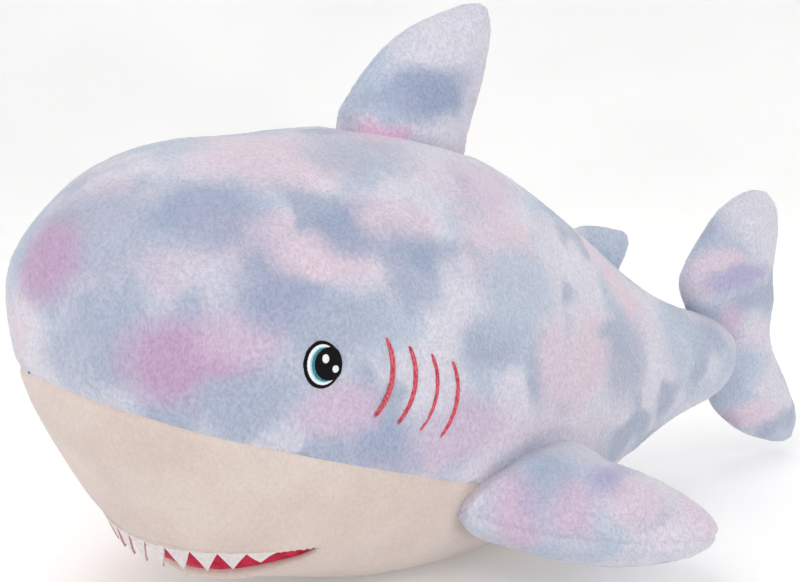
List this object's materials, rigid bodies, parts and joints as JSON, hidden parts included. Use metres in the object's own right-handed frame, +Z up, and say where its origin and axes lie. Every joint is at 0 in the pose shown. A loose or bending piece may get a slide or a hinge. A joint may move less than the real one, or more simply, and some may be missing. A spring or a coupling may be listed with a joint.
{
  "type": "plush shark",
  "caption": "Stuffed plush shark lying on its belly, with soft sewn fins that flex at their seams, an open mouth with felt teeth, embroidered eyes and gills.",
  "frame": {"origin": "middle of the flat patch of belly that the toy rests on", "axes": "+Z up, nose towards -Y, tail towards +Y, +X to the shark's left"},
  "size_m": [0.372, 0.6399, 0.3553],
  "materials": {
    "dyed_plush": "short dense pile plush with a soft tie-dye in pale blue, pink and mauve",
    "white_plush": "smooth short pile plush, warm cream white",
    "fibre_filling": "loose white polyester fibre filling",
    "red_lining": "brushed crimson fabric",
    "tooth_felt": "white felt with a cut zigzag edge",
    "black_thread": "black satin-stitch embroidery thread",
    "white_thread": "white satin-stitch embroidery thread",
    "teal_thread": "teal satin-stitch embroidery thread",
    "red_thread": "coral red satin-stitch embroidery thread"
  },
  "bodies": {
    "body": {"flank_cover_left": "dyed_plush", "flank_cover_right": "dyed_plush", "belly_panel": "white_plush", "body_stuffing": "fibre_filling", "mouth_lining": "red_lining", "upper_teeth": "tooth_felt", "eye_ring_left": "black_thread", "eye_white_left": "white_thread", "eye_iris_left": "teal_thread", "eye_pupil_left": "black_thread", "eye_glints_left": "white_thread", "gill_1_left": "red_thread", "gill_2_left": "red_thread", "gill_3_left": "red_thread", "gill_4_left": "red_thread", "eye_ring_right": "black_thread", "eye_white_right": "white_thread", "eye_iris_right": "teal_thread", "eye_pupil_right": "black_thread", "eye_glints_right": "white_thread", "gill_1_right": "red_thread", "gill_2_right": "red_thread", "gill_3_right": "red_thread", "gill_4_right": "red_thread"},
    "dorsal_fin": {"dorsal_fin_cover_left": "dyed_plush", "dorsal_fin_cover_right": "dyed_plush", "dorsal_fin_stuffing": "fibre_filling"},
    "rear_fin": {"rear_fin_cover_left": "dyed_plush", "rear_fin_cover_right": "dyed_plush", "rear_fin_stuffing": "fibre_filling"},
    "pectoral_fin_left": {"pectoral_top_cover_left": "dyed_plush", "pectoral_under_cover_left": "dyed_plush", "pectoral_stuffing_left": "fibre_filling"},
    "pectoral_fin_right": {"pectoral_top_cover_right": "dyed_plush", "pectoral_under_cover_right": "dyed_plush", "pectoral_stuffing_right": "fibre_filling"},
    "tail_fin": {"tail_fin_cover_left": "dyed_plush", "tail_fin_cover_right": "dyed_plush", "tail_fin_stuffing": "fibre_filling"}
  },
  "joints": [
    {"name": "dorsal_fin_lean", "type": "hinge", "parent": "body", "child": "dorsal_fin", "pos_m": [0, 0.00466, 0.27883], "axis": [0, 0.9781, -0.2079], "range_deg": [-28, 28], "stiffness_Nm_per_rad": 0.3},
    {"name": "rear_fin_lean", "type": "hinge", "parent": "body", "child": "rear_fin", "pos_m": [0, 0.17038, 0.18058], "axis": [0, 0.8339, -0.5519], "range_deg": [-28, 28], "stiffness_Nm_per_rad": 0.05},
    {"name": "pectoral_left_flap", "type": "hinge", "parent": "body", "child": "pectoral_fin_left", "pos_m": [0.102, 0.026, 0.061], "axis": [0.1994, -0.9799, 0], "range_deg": [-10, 30], "stiffness_Nm_per_rad": 0.5},
    {"name": "pectoral_right_flap", "type": "hinge", "parent": "body", "child": "pectoral_fin_right", "pos_m": [-0.102, 0.026, 0.061], "axis": [0.1994, 0.9799, 0], "range_deg": [-10, 30], "stiffness_Nm_per_rad": 0.5},
    {"name": "tail_fin_wag", "type": "hinge", "parent": "body", "child": "tail_fin", "pos_m": [0, 0.262, 0.1], "axis": [0, 0, 1], "range_deg": [-30, 30], "stiffness_Nm_per_rad": 0.4}
  ]
}
